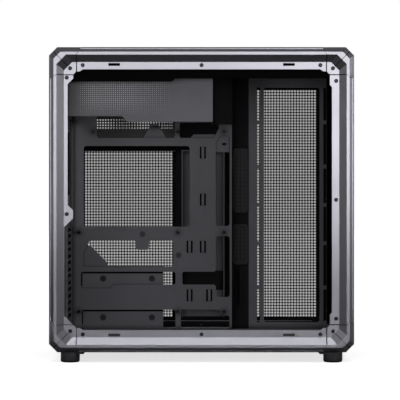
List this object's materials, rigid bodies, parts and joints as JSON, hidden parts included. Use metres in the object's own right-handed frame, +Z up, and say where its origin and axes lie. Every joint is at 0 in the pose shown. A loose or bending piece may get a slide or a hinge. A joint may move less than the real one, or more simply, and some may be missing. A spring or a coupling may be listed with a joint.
{
  "type": "mid tower computer case",
  "caption": "Mid tower computer case with its left side open: bevelled metal bar frame, black steel tray and walls, perforated right panel, round feet and a power button.",
  "frame": {"origin": "under the middle of the case, on the surface that its feet stand on", "axes": "+X to the front of the case, -Y to its open left side, +Z up"},
  "size_m": [0.45, 0.244, 0.465],
  "materials": {
    "frame_metal": "satin gunmetal, blasted and anodised",
    "cover_metal": "dark satin, blasted and anodised",
    "black_steel": "fine-grained black powder coat",
    "panel_steel": "fine-grained dark grey powder coat",
    "grommet_rubber": "matt black rubber",
    "foot_plastic": "satin black moulded rubber",
    "dark_plastic": "fine-textured black plastic",
    "screw_steel": "dark zinc plate",
    "standoff_steel": "black zinc plate",
    "socket_steel": "bright nickel plate",
    "button_metal": "turned and anodised"
  },
  "bodies": {
    "case": {"bottom_filter": "dark_plastic", "bottom_front_cross_rail": "frame_metal", "bottom_rear_cross_rail": "frame_metal", "cable_channel": "black_steel", "cable_cover": "black_steel", "ceiling_panel": "black_steel", "ceiling_skirt": "black_steel", "connector_block": "dark_plastic", "connector_sockets": "socket_steel", "floor_panel": "black_steel", "foot_plates": "dark_plastic", "front_panel": "cover_metal", "front_wall": "black_steel", "left_bottom_front_corner": "frame_metal", "left_bottom_rail": "frame_metal", "left_bottom_rear_corner": "frame_metal", "left_front_foot": "foot_plastic", "left_front_post": "frame_metal", "left_ledge_screws": "screw_steel", "left_rear_foot": "foot_plastic", "left_rear_post": "frame_metal", "left_top_front_corner": "frame_metal", "left_top_rail": "frame_metal", "left_top_rear_corner": "frame_metal", "lower_drive_plate": "black_steel", "lower_grommet": "grommet_rubber", "motherboard_tray": "black_steel", "panel_screws": "screw_steel", "power_switch": "dark_plastic", "psu_rest": "black_steel", "psu_shroud": "black_steel", "rear_panel": "black_steel", "right_bottom_front_corner": "frame_metal", "right_bottom_rail": "frame_metal", "right_bottom_rear_corner": "frame_metal", "right_front_foot": "foot_plastic", "right_front_post": "frame_metal", "right_rear_foot": "foot_plastic", "right_rear_post": "frame_metal", "right_side_panel": "panel_steel", "right_top_front_corner": "frame_metal", "right_top_rail": "frame_metal", "right_top_rear_corner": "frame_metal", "side_fan_bracket": "black_steel", "slot_cover_1": "black_steel", "slot_cover_2": "black_steel", "slot_cover_3": "black_steel", "slot_cover_4": "black_steel", "slot_cover_5": "black_steel", "slot_cover_6": "black_steel", "slot_cover_7": "black_steel", "slot_screws": "screw_steel", "standoffs": "standoff_steel", "top_cover": "cover_metal", "top_front_cross_rail": "frame_metal", "top_rear_cross_rail": "frame_metal", "tray_beam": "black_steel", "upper_drive_plate": "black_steel", "upper_grommet": "grommet_rubber"},
    "button": {"power_button": "button_metal"}
  },
  "joints": [
    {"name": "button_press", "type": "slide", "parent": "case", "child": "button", "axis": [0, 0, -1], "range_m": [0, 0.0015], "stiffness_N_per_m": 600, "springref_m": -0.001}
  ]
}
